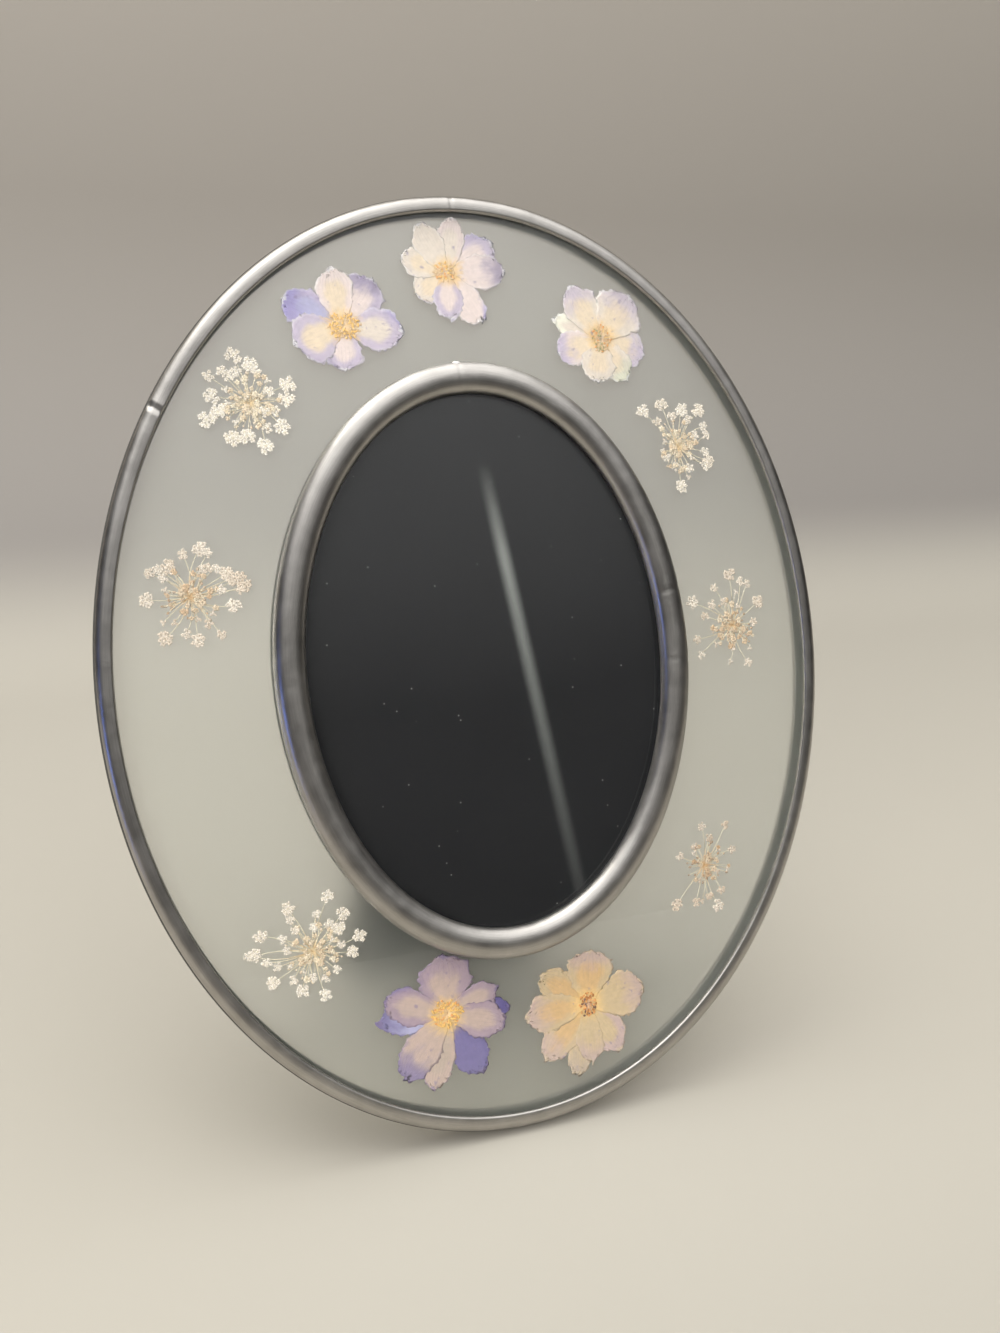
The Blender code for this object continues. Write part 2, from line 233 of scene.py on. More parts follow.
def came_metal(name, on_map):
    """Lead came, drawn and worn soft: dull grey, with faint draw lines along its length."""
    made, tree, shader = start_material(name, 0.34, metallic=1.0)
    place = add(tree, "TexCoord")
    spot = place.outputs["Object"]
    line_place = spot
    if on_map:
        # the map runs in millimetres, along the came and round it: lines of 8 by 0.2 mm
        drawn = add(tree, "Mapping", {"Vector": place.outputs["UV"], "Scale": (0.12, 5, 1)})
        line_place = drawn.outputs[0]
    lines = add(tree, "TexNoise", {"Vector": line_place, "Scale": 1.0 if on_map else 900, "Detail": 4})
    # patina in blotches of 6 mm, and a grain drawn at 0.7 mm, coarser than real, to show
    patina = add(tree, "TexNoise", {"Vector": spot, "Scale": 160, "Detail": 5, "Roughness": 0.6})
    grain = add(tree, "TexNoise", {"Vector": spot, "Scale": 1400, "Detail": 3})
    tone = add(tree, "Mix", {0: patina.outputs[0], 6: srgb("#9c9893"), 7: srgb("#c5c1bc")},
               data_type="RGBA")
    worn = add(tree, "MapRange", {"Value": lines.outputs[0], "From Min": 0.3, "From Max": 0.7,
                                  "To Min": 0.88, "To Max": 1.08})
    colour = add(tree, "Mix", {0: 1.0, 6: tone.outputs[2], 7: worn.outputs[0]},
                 data_type="RGBA", blend_type="MULTIPLY")
    dull = add(tree, "MapRange", {"Value": patina.outputs[0], "From Min": 0.3, "From Max": 0.7,
                                  "To Min": 0.28, "To Max": 0.38})
    tree.links.new(dull.outputs[0], shader.inputs["Roughness"])
    low = add(tree, "Bump", {"Height": lines.outputs[0], "Strength": 0.25, "Distance": 0.00004})
    fine = add(tree, "Bump", {"Height": grain.outputs[0], "Normal": low.outputs[0],
                              "Strength": 0.4, "Distance": 0.00006})
    coat(tree, shader, colour, fine)
    return made


def glazing_cement():
    """Whiting and oil, blackened, packed into the channel of a came: dark grey and dead matt."""
    made, tree, shader = start_material("glazing_cement", 0.9)
    spot = add(tree, "TexCoord").outputs["Object"]
    # grit drawn at 1.1 mm, coarser than real, to show
    grit = add(tree, "TexNoise", {"Vector": spot, "Scale": 900, "Detail": 4})
    tone = add(tree, "Mix", {0: grit.outputs[0], 6: srgb("#3a3936"), 7: srgb("#5d5b56")},
               data_type="RGBA")
    bump = add(tree, "Bump", {"Height": grit.outputs[0], "Strength": 0.4, "Distance": 0.0001})
    coat(tree, shader, tone, bump)
    return made


def solder_tin():
    """Tin-lead solder, flowed and left as it froze: brighter than the came, softly lumpy."""
    made, tree, shader = start_material("tin_lead_solder", 0.24, metallic=1.0)
    spot = add(tree, "TexCoord").outputs["Object"]
    # lumps of 1.4 mm
    lumps = add(tree, "TexNoise", {"Vector": spot, "Scale": 700, "Detail": 3})
    tone = add(tree, "Mix", {0: lumps.outputs[0], 6: srgb("#a5a29e"), 7: srgb("#d6d4d0")},
               data_type="RGBA")
    bump = add(tree, "Bump", {"Height": lumps.outputs[0], "Strength": 0.5, "Distance": 0.0001})
    coat(tree, shader, tone, bump)
    return made


def zinc_steel():
    """Stamped steel, zinc plated: pale, slightly yellow and blue where it was passivated."""
    made, tree, shader = start_material("zinc_plated_steel", 0.3, metallic=1.0)
    spot = add(tree, "TexCoord").outputs["Object"]
    # clouds of 4.5 mm, and brushed lines drawn at 0.3 mm, coarser than real, to show
    cloud = add(tree, "TexNoise", {"Vector": spot, "Scale": 220, "Detail": 4})
    brush = add(tree, "Mapping", {"Vector": spot, "Scale": (300, 3000, 3000)})
    lines = add(tree, "TexNoise", {"Vector": brush.outputs[0], "Scale": 1.0, "Detail": 3})
    tone = add(tree, "Mix", {0: cloud.outputs[0], 6: srgb("#b9b29c"), 7: srgb("#c3c8d0")},
               data_type="RGBA")
    dull = add(tree, "MapRange", {"Value": cloud.outputs[0], "From Min": 0.3, "From Max": 0.7,
                                  "To Min": 0.22, "To Max": 0.4})
    tree.links.new(dull.outputs[0], shader.inputs["Roughness"])
    bump = add(tree, "Bump", {"Height": lines.outputs[0], "Strength": 0.2, "Distance": 0.00003})
    coat(tree, shader, tone, bump)
    return made


def let_lamps_through(tree, surface, passed):
    """Mixes in a transparent surface for rays from lamps, so that they reach what is behind."""
    path = add(tree, "LightPath")
    open_way = add(tree, "BsdfTransparent", {"Color": passed})
    either = {0: path.outputs["Is Shadow Ray"], 1: surface, 2: open_way.outputs[0]}
    return add(tree, "MixShader", either).outputs[0]


def clear_glass():
    """Float glass, polished on both faces, with a faint green body."""
    made, tree, shader = start_material("float_glass", 0.0)
    shader.inputs["Base Color"].default_value = srgb("#fcfdfc")
    shader.inputs["IOR"].default_value = 1.5
    shader.inputs["Transmission Weight"].default_value = 1.0
    show(tree, let_lamps_through(tree, shader.outputs[0], srgb("#f8faf8")))
    return made


def etched_glass():
    """Acid-etched glass: a satin face that holds soft shadows and blurs what is behind it."""
    made, tree, shader = start_material("acid_etched_glass", 0.37)
    shader.inputs["Base Color"].default_value = srgb("#f8f6f5")
    shader.inputs["IOR"].default_value = 1.5
    shader.inputs["Transmission Weight"].default_value = 1.0
    spot = add(tree, "TexCoord").outputs["Object"]
    # a tooth drawn at 0.4 mm, coarser than real, to show, and clouds of 17 mm
    tooth = add(tree, "TexNoise", {"Vector": spot, "Scale": 2500, "Detail": 2})
    bump = add(tree, "Bump", {"Height": tooth.outputs[0], "Strength": 0.15, "Distance": 0.00003})
    tree.links.new(bump.outputs[0], shader.inputs["Normal"])
    cloud = add(tree, "TexNoise", {"Vector": spot, "Scale": 60, "Detail": 3})
    haze = add(tree, "Mix", {0: cloud.outputs[0], 6: srgb("#cfd0c8"), 7: srgb("#d9dad2")},
               data_type="RGBA")
    front_light = add(tree, "BsdfDiffuse", {"Color": haze.outputs[2]})
    back_light = add(tree, "BsdfTranslucent", {"Color": haze.outputs[2]})
    satin = add(tree, "MixShader", {0: 0.5, 1: front_light.outputs[0], 2: back_light.outputs[0]})
    face = add(tree, "MixShader", {0: 0.15, 1: shader.outputs[0], 2: satin.outputs[0]})
    show(tree, let_lamps_through(tree, face.outputs[0], srgb("#52534e")))
    return made


def black_board(name, pebble):
    """Hardboard under black paper: matt, with a paper tooth or an embossed leather grain."""
    made, tree, shader = start_material(name, 0.8)
    shader.inputs["Specular IOR Level"].default_value = 0.2
    spot = add(tree, "TexCoord").outputs["Object"]
    # fibres drawn 0.4 mm thick, coarser than real, to show, and clouds of 22 mm
    fibre_place = add(tree, "Mapping", {"Vector": spot, "Scale": (900, 900, 2600)})
    fibre = add(tree, "TexNoise", {"Vector": fibre_place.outputs[0], "Scale": 1.0, "Detail": 4})
    cloud = add(tree, "TexNoise", {"Vector": spot, "Scale": 45, "Detail": 4})
    tone = add(tree, "Mix", {0: cloud.outputs[0], 6: srgb("#0d0d0f"), 7: srgb("#18181a")},
               data_type="RGBA")
    # dust: a few pale specks about 0.3 mm wide
    dust = add(tree, "TexVoronoi", {"Vector": spot, "Scale": 420})
    speck = add(tree, "MapRange", {"Value": dust.outputs["Distance"], "From Min": 0.05,
                                   "From Max": 0.09, "To Min": 1.0, "To Max": 0.0})
    rare = add(tree, "TexNoise", {"Vector": spot, "Scale": 300, "Detail": 2})
    seldom = add(tree, "MapRange", {"Value": rare.outputs[0], "From Min": 0.56, "From Max": 0.62})
    shown = add(tree, "Math", {0: speck.outputs[0], 1: seldom.outputs[0]}, operation="MULTIPLY")
    dusty = add(tree, "Mix", {0: shown.outputs[0], 6: tone.outputs[2], 7: srgb("#8b8b88")},
                data_type="RGBA")
    height, strength, depth = fibre.outputs[0], 0.3, 0.00005
    if pebble:
        # pebbles of 0.9 mm
        pebbles = add(tree, "TexVoronoi", {"Vector": spot, "Scale": 1100}, feature="SMOOTH_F1")
        height, strength, depth = pebbles.outputs["Distance"], 0.5, 0.0002
    bump = add(tree, "Bump", {"Height": height, "Strength": strength, "Distance": depth})
    coat(tree, shader, dusty, bump)
    return made


def papery(name, share, vein=None):
    """A dried plant tissue, tinted point by point, that glows a little from behind."""
    made, tree, shader = start_material(name, 0.7)
    shader.inputs["Specular IOR Level"].default_value = 0.25
    tint = add(tree, "Attribute", attribute_name="tint").outputs["Color"]
    spot = add(tree, "TexCoord").outputs["Object"]
    # a mottle of 1.1 mm
    mottle = add(tree, "TexNoise", {"Vector": spot, "Scale": 900, "Detail": 4, "Roughness": 0.6})
    uneven = add(tree, "MapRange", {"Value": mottle.outputs[0], "From Min": 0.3, "From Max": 0.7,
                                    "To Min": 0.9, "To Max": 1.04})
    colour = add(tree, "Mix", {0: 1.0, 6: tint, 7: uneven.outputs[0]},
                 data_type="RGBA", blend_type="MULTIPLY")
    height = mottle.outputs[0]
    if vein:
        colour, height = veined(tree, spot, colour, mottle, vein)
    bump = add(tree, "Bump", {"Height": height, "Strength": 0.5, "Distance": 0.00008})
    coat(tree, shader, colour, bump)
    glow = add(tree, "BsdfTranslucent", {"Color": colour.outputs[2]})
    show(tree, add(tree, "MixShader", {0: share, 1: shader.outputs[0], 2: glow.outputs[0]}).outputs[0])
    return made


def veined(tree, spot, colour, mottle, vein):
    """Ten or so faint veins that fan from the claw of a sepal, and a few bruises."""
    across_along = add(tree, "SeparateXYZ", {0: add(tree, "UVMap", uv_map="sepal").outputs[0]})
    across, along = across_along.outputs[0], across_along.outputs[1]
    off = add(tree, "Math", {0: across, 1: 0.5}, operation="SUBTRACT")
    bent = add(tree, "Math", {0: mottle.outputs[0], 1: 0.05, 2: off.outputs[0]},
               operation="MULTIPLY_ADD")
    wave = add(tree, "Math", {0: bent.outputs[0], 1: 62.0}, operation="MULTIPLY")
    ridge = add(tree, "Math", {0: wave.outputs[0]}, operation="COSINE")
    thin = add(tree, "MapRange", {"Value": ridge.outputs[0], "From Min": 0.55, "From Max": 1.0})
    fade = add(tree, "MapRange", {"Value": along, "From Min": 0.15, "From Max": 0.6})
    line = add(tree, "Math", {0: thin.outputs[0], 1: fade.outputs[0]}, operation="MULTIPLY")
    faint = add(tree, "Math", {0: line.outputs[0], 1: 0.12}, operation="MULTIPLY")
    lined = add(tree, "Mix", {0: faint.outputs[0], 6: colour.outputs[2], 7: vein}, data_type="RGBA")
    # bruises: a few small dark spots, the peaks of a noise of 1.6 mm
    spots = add(tree, "TexNoise", {"Vector": spot, "Scale": 620, "Detail": 2})
    bruise = add(tree, "MapRange", {"Value": spots.outputs[0], "From Min": 0.66, "From Max": 0.76,
                                    "To Min": 0.0, "To Max": 0.55})
    bruised = add(tree, "Mix", {0: bruise.outputs[0], 6: lined.outputs[2], 7: vein}, data_type="RGBA")
    return bruised, line.outputs[0]


def floor_paint_and_painted_shade():
    """A matt painted table that runs up into a wall, with painted shade: the table darkens far in
    front, and the wall is darker at its foot and lighter towards its top.
    """
    made, tree, shader = start_material("matt_paint_and_painted_shade", 0.7)
    spot = add(tree, "TexCoord").outputs["Object"]
    place = add(tree, "SeparateXYZ", {0: spot})
    rise = add(tree, "MapRange", {"Value": place.outputs[2], "From Min": 0.0, "From Max": 0.07},
               interpolation_type="SMOOTHSTEP")
    # painted shade: the table darkens far in front of the frame
    near = add(tree, "MapRange", {"Value": place.outputs[1], "From Min": -0.5, "From Max": -0.06},
               interpolation_type="SMOOTHSTEP")
    table = add(tree, "Mix", {0: near.outputs[0], 6: srgb("#4c4945"), 7: srgb("#b3aea3")},
                data_type="RGBA")
    # painted shade and light: the wall is darker at its foot and lighter towards its top
    wall_painted_light = add(tree, "MapRange", {"Value": place.outputs[2], "From Min": 0.06, "From Max": 0.6})
    wall = add(tree, "Mix", {0: wall_painted_light.outputs[0], 6: srgb("#8b8681"), 7: srgb("#bdb6ac")},
               data_type="RGBA")
    tone = add(tree, "Mix", {0: rise.outputs[0], 6: table.outputs[2], 7: wall.outputs[2]},
               data_type="RGBA")
    # roller texture of 1.1 mm
    speckle = add(tree, "TexNoise", {"Vector": spot, "Scale": 900, "Detail": 3})
    bump = add(tree, "Bump", {"Height": speckle.outputs[0], "Strength": 0.1, "Distance": 0.0001})
    coat(tree, shader, tone, bump)
    return made


# --- cames ---

def arc(middle, size, first, last, steps):
    """Points on an ellipse between two angles in degrees, as (out, depth)."""
    points = []
    for step in range(steps + 1):
        angle = math.radians(first + (last - first) * step / steps)
        points.append((middle[0] + size[0] * math.cos(angle), middle[1] + size[1] * math.sin(angle)))
    return points


def rim_profile():
    """The outer came: front face with a soft outer edge, side, rear flange, and heart."""
    face, lip, heart = -4.0, -3.5, -1.5
    inner_edge = arc((face + 0.45, lip + 0.45), (0.45, 0.45), 180, 270, 4)
    outer_edge = arc((-2.4, -1.0), (2.4, 2.5), 270, 360, 10)
    rear_edge = arc((-1.3, 2.05), (1.3, 1.5), 0, 90, 5)
    return [
        (face, -CHANNEL), *inner_edge, *outer_edge, *rear_edge,
        (face, FLANGE_BACK), (face, CHANNEL), (heart, CHANNEL), (heart, -CHANNEL),
    ]


def ring_profile():
    """The half-round came: a bead in front, its heart, and the flange behind."""
    width, crown, lip, heart = 7.4, 3.0, 2.45, 3.65
    steps = 20
    bead = [
        (width / 2 * (1 - math.cos(math.pi * step / steps)),
         -CHANNEL - crown * math.sin(math.pi * step / steps) ** 0.8)
        for step in range(steps + 1)
    ]
    return bead + [
        (heart, -CHANNEL), (heart, CHANNEL), (width, CHANNEL),
        (width, FLANGE_BACK), (lip, FLANGE_BACK), (lip, -CHANNEL),
    ]


def build_came(profile, oval, up, sides, core, wander, joints):
    """Carries a profile round an oval and works it by hand.

    up is how far its middle is raised, and core is the middle of the profile. wander is
    how far the surface strays. joints are given as in RIM_JOINTS. The profile is spun
    round a small hub first, and then moved out to the oval.
    """
    hub = 20.0
    channel_wall = GLASS_FACE + 0.2
    bm = bmesh.new()
    corners = [bm.verts.new((hub + out, depth, 0)) for out, depth in profile]
    edges = [bm.edges.new(pair) for pair in zip(corners, corners[1:] + corners[:1])]
    bmesh.ops.spin(
        bm, geom=corners + edges, cent=(0, 0, 0), axis=(0, 1, 0),
        angle=math.tau, steps=sides, use_merge=True,
    )
    bmesh.ops.recalc_face_normals(bm, faces=bm.faces)
    uv = bm.loops.layers.uv.new("came")
    length = math.pi * (oval[0] + oval[1])
    for face in bm.faces:
        in_channel = all(abs(vert.co.y) < channel_wall for vert in face.verts)
        face.material_index = 1 if in_channel else 0
        first = None
        for loop in face.loops:
            spot = loop.vert.co
            turn = math.atan2(spot.z, spot.x)
            first = turn if first is None else first
            turn += math.tau * round((first - turn) / math.tau)
            out = math.hypot(spot.x, spot.z) - hub
            round_profile = math.atan2(spot.y - core[1], out - core[0])
            loop[uv].uv = (turn / math.tau * length, round_profile * 3)
    for vert in bm.verts:
        away = Vector((vert.co.x, 0, vert.co.z)).normalized()
        turn = math.atan2(vert.co.z, vert.co.x)
        out = math.hypot(vert.co.x, vert.co.z) - hub
        lift = away * (out - core[0])
        lift.y = vert.co.y - core[1]
        lift.normalize()
        vert.co.x += (oval[0] - hub) * away.x
        vert.co.z += (oval[1] - hub) * away.z
        stray = noise.noise(vert.co * 0.07) * wander + noise.noise(vert.co * 0.35) * wander * 0.35
        for angle, depth, width, height, reach in joints:
            off = (turn - math.radians(angle) + math.pi) % math.tau - math.pi
            along = abs(off) * length / math.tau
            stray += height * math.exp(-((along / reach) ** 2))
            stray -= depth * math.exp(-((along / width) ** 2))
        if abs(vert.co.y) > channel_wall:
            vert.co += lift * min(stray, MOST_SWELLING)
        vert.co.z += up
    return bm


def solder_drop(spot, size, tilt):
    """A frozen drop of solder, sunk into the came: its middle, half sizes and turn."""
    bm = bmesh.new()
    turn = Matrix.Rotation(math.radians(tilt), 4, "Y")
    shape = Matrix.Translation(spot) @ turn @ Matrix.Diagonal((*size, 1))
    bmesh.ops.create_icosphere(bm, subdivisions=4, radius=1, matrix=shape)
    for vert in bm.verts:
        vert.co += vert.normal * noise.noise(vert.co * 0.9) * 0.12
    return bm


def build_cames(metal, solder, cement):
    """The rim, the ring, and the drop of solder that stands on the ring's joint."""
    rim = build_came(
        rim_profile(), RIM_OVAL, up=0, sides=1000, core=(-2.0, -0.4), wander=0.07,
        joints=RIM_JOINTS,
    )
    finished(rim, "outer_came", [metal, cement], "outer_rim")
    ring = build_came(
        ring_profile(), OPENING_OVAL, up=OPENING_UP, sides=640, core=(3.7, -2.6), wander=0.05,
        joints=RING_JOINTS,
    )
    finished(ring, "inner_came", [metal, cement], "inner_ring")
    drop = solder_drop((-3.0, -3.75, 70.2), (1.5, 0.75, 1.25), 20)
    finished(drop, "ring_solder_drop", [solder])


# --- glass ---

def build_back_pane(clear, etched):
    """The rear pane: polished in front, etched behind, its edges hidden in the cames."""
    bm = bmesh.new()
    sides = 200
    upright = Matrix.Rotation(math.pi / 2, 4, "X")
    for oval, up in ((PANE_OVAL, 0), (PANE_HOLE, OPENING_UP)):
        loop = bmesh.ops.create_circle(bm, segments=sides, radius=1, matrix=upright)
        bmesh.ops.scale(bm, vec=(oval[0], 1, oval[1]), verts=loop["verts"])
        bmesh.ops.translate(bm, vec=(0, 0, up), verts=loop["verts"])
    bmesh.ops.bridge_loops(bm, edges=bm.edges)
    bmesh.ops.translate(bm, vec=(0, HALF_SPACE, 0), verts=bm.verts)
    deep = bmesh.ops.extrude_face_region(bm, geom=bm.faces[:])
    moved = [item for item in deep["geom"] if isinstance(item, bmesh.types.BMVert)]
    bmesh.ops.translate(bm, vec=(0, GLASS_FACE - HALF_SPACE, 0), verts=moved)
    bmesh.ops.recalc_face_normals(bm, faces=bm.faces)
    # only the rear face is etched
    for face in bm.faces:
        face.material_index = 1 if face.normal.y > 0.5 else 0
    pane = finished(bm, "etched_back_pane", [clear, etched], "back_pane")
    pane.data.set_sharp_from_angle(angle=math.radians(30))


# --- larkspurs ---

# The depth of the front sepals, how far apart the layers lie, how far one ripples and
# how thick it is
FRONT_LAYER = -0.36
LAYER_STEP = 0.065
RIPPLE = 0.03
SEPAL_THICK = 0.09
# How far a sepal's sides and its tip stray: in waves, in small waves and in tears
SIDE_WAVE, SIDE_RUFFLE, SIDE_TEAR = 0.16, 0.15, 0.1
TIP_WAVE, TIP_RUFFLE, TIP_TEAR = 0.06, 0.08, 0.035


def sepal(bm, middle, shape, order, tints, rim, stain, seed):
    """One pressed sepal, laid from the middle of its flower.

    shape is its direction in degrees, reach and width. order is its layer, from 0 in
    front. tints are those of its thick middle and its thin margin, and rim is that of
    its very edge. stain is a tint and the place that it has run to: the tip, or the left
    or right side seen from the claw.
    """
    degrees, reach, width = shape
    tint = bm.verts.layers.float_color["tint"]
    body, margin = (srgb(code) for code in tints)
    heart = Vector((middle[0], 0, middle[1]))
    out = Vector((math.cos(math.radians(degrees)), 0, math.sin(math.radians(degrees))))
    left = Vector((-out.z, 0, out.x))
    grid = bmesh.ops.create_grid(bm, x_segments=20, y_segments=34, size=1, calc_uvs=True)
    for vert in grid["verts"]:
        across, along = vert.co.x, math.sin((vert.co.y + 1) * math.pi / 4)
        edge = max(abs(across), smooth(0.88, 1.0, along))
        ragged = noise.noise(Vector((along * 5, across * 2, seed)))
        fine = noise.noise(Vector((along * 17, across * 12, seed + 9)))
        torn = noise.noise(Vector((along * 46, across * 34, seed + 20)))
        half = width / 2 * math.sin(math.pi * along ** 1.7) ** 0.52 + 0.5 * (1 - along)
        half *= 1 + SIDE_WAVE * ragged + (SIDE_RUFFLE * fine + SIDE_TEAR * torn) * edge ** 3
        stray = (TIP_WAVE * ragged + TIP_RUFFLE * fine + TIP_TEAR * torn) * along ** 5
        vert.co = heart + out * (reach * along * (1 + stray)) - left * (half * across)
        ripple = noise.noise(Vector((vert.co.x * 0.5, seed, vert.co.z * 0.5)))
        vert.co.y = FRONT_LAYER + LAYER_STEP * order + RIPPLE * (across ** 2 + ripple)
        # the thick middle, the margin round it and the very edge
        lengthwise = (along - 0.55) / (0.36 if along > 0.55 else 1.1)
        from_middle = math.hypot(across / 0.74, lengthwise) + 0.3 * ragged + 0.12 * fine
        colour = mixed(body, margin, smooth(0.55, 1.0, from_middle))
        if stain:
            code, place = stain
            sideways = 0.9 * across * along
            run = {"tip": along * 1.1 - 0.1, "left": 0.1 - sideways, "right": 0.1 + sideways}[place]
            reached = smooth(0.5, 0.95, run + 0.2 * ragged + 0.1 * fine)
            colour = mixed(colour, srgb(code), 0.8 * reached)
        # the very edge takes the rim tint, which on most flowers is a painted white glint
        colour = mixed(colour, srgb(rim), 0.75 * smooth(0.86, 0.97, edge + 0.1 * fine) * along)
        vert[tint] = mixed(srgb(CLAW), colour, smooth(0.1, 0.36, along + 0.1 * fine))


# Each flower: its middle, and its sepals as direction, reach and width, layer, tints of
# middle and margin, and stain
LARKSPURS = {
    "larkspur_top_left": ((-28.7, 80.2), (
        ((155, 14.0, 9.4), 5, (BLUE_LILAC, LILAC), (VIOLET, "tip")),
        ((98, 12.9, 8.4), 2, (CREAM, BLUSH), None),
        ((56, 13.3, 10.6), 4, (BLUSH, PALE_LILAC), (GREY_VIOLET, "tip")),
        ((-6, 13.7, 9.6), 1, (IVORY, PALE_LILAC), (VIOLET, "left")),
        ((-91, 9.8, 8.6), 3, (BLUSH, PALE_LILAC), (GREY_VIOLET, "right")),
        ((-158, 11.8, 11.4), 2, (CREAM, PALE_LILAC), (GREY_VIOLET, "left")),
        ((8, 11.0, 8.0), 6, (PALE_LILAC, LILAC), None),
    )),
    "larkspur_top_middle": ((-3.0, 92.9), (
        ((118, 12.6, 7.0), 1, (IVORY, IVORY), None),
        ((78, 12.9, 7.0), 2, (IVORY, BLUSH), None),
        ((31, 13.8, 9.4), 4, (BLUSH, PALE_LILAC), (VIOLET, "left")),
        ((4, 14.3, 8.2), 3, (BLUSH, BLUSH), (GREY_VIOLET, "tip")),
        ((-56, 13.6, 7.6), 2, (BLUSH, BLUSH), (VIOLET, "left")),
        ((-89, 10.6, 7.0), 1, (BLUSH, PALE_LILAC), None),
        ((-141, 9.2, 7.4), 3, (CREAM, IVORY), (GREY_VIOLET, "left")),
        ((159, 10.8, 7.0), 2, (CREAM, IVORY), None),
    )),
    "larkspur_top_right": ((35.3, 77.7), (
        ((120, 14.2, 9.2), 2, (CREAM, IVORY), (PALE_LILAC, "tip")),
        ((51, 13.5, 12.2), 1, (CREAM, IVORY), (PALE_LILAC, "tip")),
        ((-19, 11.9, 9.2), 3, (CREAM, IVORY), (LILAC, "tip")),
        ((-58, 11.6, 7.6), 2, (CREAM, IVORY), (GREEN_WHITE, "tip")),
        ((-100, 10.4, 9.0), 1, (CREAM, IVORY), None),
        ((-162, 11.9, 8.4), 3, (CREAM, BLUSH), (LILAC, "tip")),
        ((158, 12.6, 5.2), 5, (IVORY, WHITE), None),
    )),
    "larkspur_bottom_left": ((-17.7, -80.9), (
        ((89, 13.6, 12.4), 3, (DUSTY_ROSE, DUSTY_LILAC), (DUSTY_LILAC, "tip")),
        ((18, 13.2, 6.6), 2, (DUSTY_ROSE, DUSTY_LILAC), None),
        ((-18, 14.4, 8.4), 1, (DUSTY_ROSE, DUSTY_LILAC), None),
        ((-4, 14.9, 6.6), 5, (DUSK_VIOLET, DUSK_VIOLET), (DEEP_VIOLET, "tip")),
        ((-64, 16.5, 8.4), 4, (DUSK_VIOLET, DUSK_VIOLET), (DEEP_VIOLET, "left")),
        ((-105, 17.3, 7.4), 2, (DUSTY_PEACH, DUSTY_ROSE), None),
        ((-132, 17.0, 9.0), 1, (DUSTY_ROSE, DUSTY_ROSE), (DUSK_VIOLET, "tip")),
        ((176, 15.9, 7.4), 4, (BLUE_LILAC, BLUE_LILAC), (DUSK_VIOLET, "tip")),
        ((160, 15.4, 8.4), 3, (DUSTY_ROSE, DUSTY_LILAC), (DUSK_VIOLET, "right")),
    )),
    "larkspur_bottom_right": ((17.6, -84.6), (
        ((82, 12.4, 12.0), 1, (APRICOT, PEACH), (PINK_PEACH, "tip")),
        ((4, 15.0, 11.0), 2, (PEACH, PEACH), (PINK_PEACH, "tip")),
        ((-59, 14.6, 8.4), 3, (PEACH, PINK_PEACH), None),
        ((-90, 14.3, 6.6), 2, (PEACH, PEACH), (PINK_PEACH, "tip")),
        ((-103, 17.2, 6.6), 4, (PEACH, PEACH), (DUSTY_PEACH, "tip")),
        ((-136, 16.3, 8.4), 3, (APRICOT, PEACH), (PINK_PEACH, "tip")),
        ((-176, 15.6, 9.2), 2, (APRICOT, PEACH), (PINK_PEACH, "tip")),
        ((144, 13.9, 8.0), 4, (APRICOT, PEACH), None),
    )),
}

# The tint of the very edge of each sepal, where it isn't a painted white glint
PAINTED_EDGE_GLINT = "#f4f1f4"
RIMS = {"larkspur_bottom_left": "#8f80a6", "larkspur_bottom_right": "#dfcbb0"}

# Stamens: where they lie from the flower's middle, how far they spread, how many there
# are, and their tints
STAMENS = {
    "larkspur_top_left": ((0.4, 0), (3.9, 3.1), 96, (GOLD, GOLD, GOLD, TAN)),
    "larkspur_top_middle": ((-0.4, 0.2), (2.8, 2.2), 54, (ORANGE, GOLD, TAN, TAN)),
    "larkspur_top_right": ((0.2, -0.2), (2.6, 3.6), 60, (TAN, ORANGE, TAN, OLIVE)),
    "larkspur_bottom_left": ((0, 0.2), (3.9, 3.4), 100, (GOLD, GOLD, ORANGE)),
    "larkspur_bottom_right": ((0, -0.2), (2.3, 3.1), 64, (ORANGE, ORANGE, RUST, BROWN)),
}


def tinted_bmesh():
    """A bmesh whose points each hold a tint."""
    bm = bmesh.new()
    bm.verts.layers.float_color.new("tint")
    return bm


def thin_tube(bm, points, radii, colours):
    """A closed thin stalk along a few points, with a radius and a colour at each."""
    tint = bm.verts.layers.float_color["tint"]
    sides = 4
    rings = []
    for at, spot in enumerate(points):
        ahead = points[min(at + 1, len(points) - 1)] - points[max(at - 1, 0)]
        turn = ahead.to_track_quat("Z", "Y").to_matrix().to_4x4()
        place = Matrix.Translation(spot) @ turn
        ring = bmesh.ops.create_circle(
            bm, segments=sides, radius=radii[at], matrix=place,
            cap_ends=at in (0, len(points) - 1),
        )
        for vert in ring["verts"]:
            vert[tint] = colours[at]
        rings.append(ring["verts"])
    for near, far in zip(rings, rings[1:]):
        for side in range(sides):
            following = (side + 1) % sides
            bm.faces.new((near[side], near[following], far[following], far[side]))


def blob(bm, spot, size, colour, turn=0.0):
    """A small flattened lump: its place, half sizes and tint, and its turn in the plane."""
    tint = bm.verts.layers.float_color["tint"]
    place = Matrix.Translation(spot) @ Matrix.Rotation(turn, 4, "Y") @ Matrix.Diagonal((*size, 1))
    made = bmesh.ops.create_icosphere(bm, subdivisions=1, radius=1, matrix=place)
    for vert in made["verts"]:
        vert[tint] = colour


